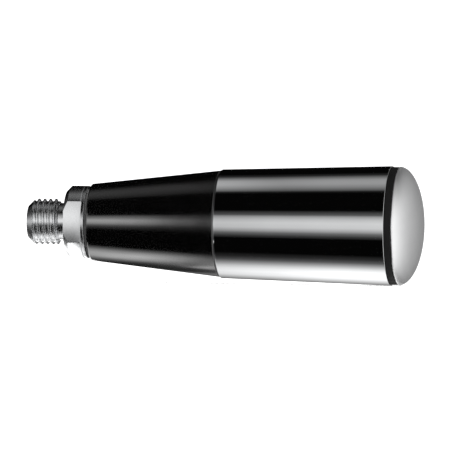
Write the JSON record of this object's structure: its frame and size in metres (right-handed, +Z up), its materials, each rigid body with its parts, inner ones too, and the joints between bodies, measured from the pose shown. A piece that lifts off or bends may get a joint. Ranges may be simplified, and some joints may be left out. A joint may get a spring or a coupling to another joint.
{
  "type": "revolving machine handle",
  "caption": "Revolving grip handle with a threaded stud, a black nose sleeve and a chromed barrel that spin on ball bearings.",
  "frame": {"origin": "centre of the flange's seat, the face that is pulled against the crank or handwheel", "axes": "+X along the handle's axis from the seat towards the domed end, so the stud points to -X; the two spanner flats face -Y and +Y; +Z is up"},
  "size_m": [0.0869, 0.026, 0.026],
  "materials": {
    "spindle_steel": "turned, satin",
    "washer_steel": "ground",
    "felt": "pressed wool felt, oiled",
    "nose_black": "black anodised, polished",
    "barrel_chrome": "bright chrome plate on steel",
    "bearing_steel": "ground and honed",
    "ball_steel": "lapped",
    "cage_nylon": "moulded natural nylon",
    "shield_steel": "pressed sheet",
    "spacer_steel": "turned",
    "spring_steel": "blued spring steel",
    "circlip_black": "phosphated spring steel",
    "nut_zinc": "bright zinc plate",
    "nut_nylon": "moulded nylon",
    "gasket_rubber": "moulded nitrile rubber",
    "cap_aluminium": "turned, satin anodised"
  },
  "bodies": {
    "spindle": {"spindle": "spindle_steel", "thrust_washer": "washer_steel", "front_bearing_inner_ring": "bearing_steel", "inner_spacer": "spacer_steel", "rear_bearing_inner_ring": "bearing_steel", "clamp_washer": "washer_steel", "lock_nut": "nut_zinc", "nut_insert": "nut_nylon"},
    "grip": {"felt_seal": "felt", "nose_sleeve": "nose_black", "barrel": "barrel_chrome", "front_bearing_outer_ring": "bearing_steel", "front_bearing_shields": "shield_steel", "outer_spacer": "spacer_steel", "rear_bearing_outer_ring": "bearing_steel", "rear_bearing_shields": "shield_steel", "wave_washer": "spring_steel", "circlip": "circlip_black", "cap_gasket": "gasket_rubber", "cap_o_ring": "gasket_rubber", "end_cap": "cap_aluminium"},
    "front_ball_set": {"front_bearing_balls": "ball_steel", "front_bearing_cage": "cage_nylon"},
    "rear_ball_set": {"rear_bearing_balls": "ball_steel", "rear_bearing_cage": "cage_nylon"}
  },
  "joints": [
    {"name": "grip_spin", "type": "hinge", "parent": "spindle", "child": "grip", "pos_m": [0.04, 0, 0], "axis": [1, 0, 0], "continuous": true},
    {"name": "front_cage_spin", "type": "hinge", "parent": "spindle", "child": "front_ball_set", "pos_m": [0.0417, 0, 0], "axis": [1, 0, 0], "continuous": true},
    {"name": "rear_cage_spin", "type": "hinge", "parent": "spindle", "child": "rear_ball_set", "pos_m": [0.062, 0, 0], "axis": [1, 0, 0], "continuous": true}
  ],
  "couplings": [
    {"joint": "front_cage_spin", "follows": "grip_spin", "ratio": 0.5821},
    {"joint": "rear_cage_spin", "follows": "grip_spin", "ratio": 0.61759}
  ]
}
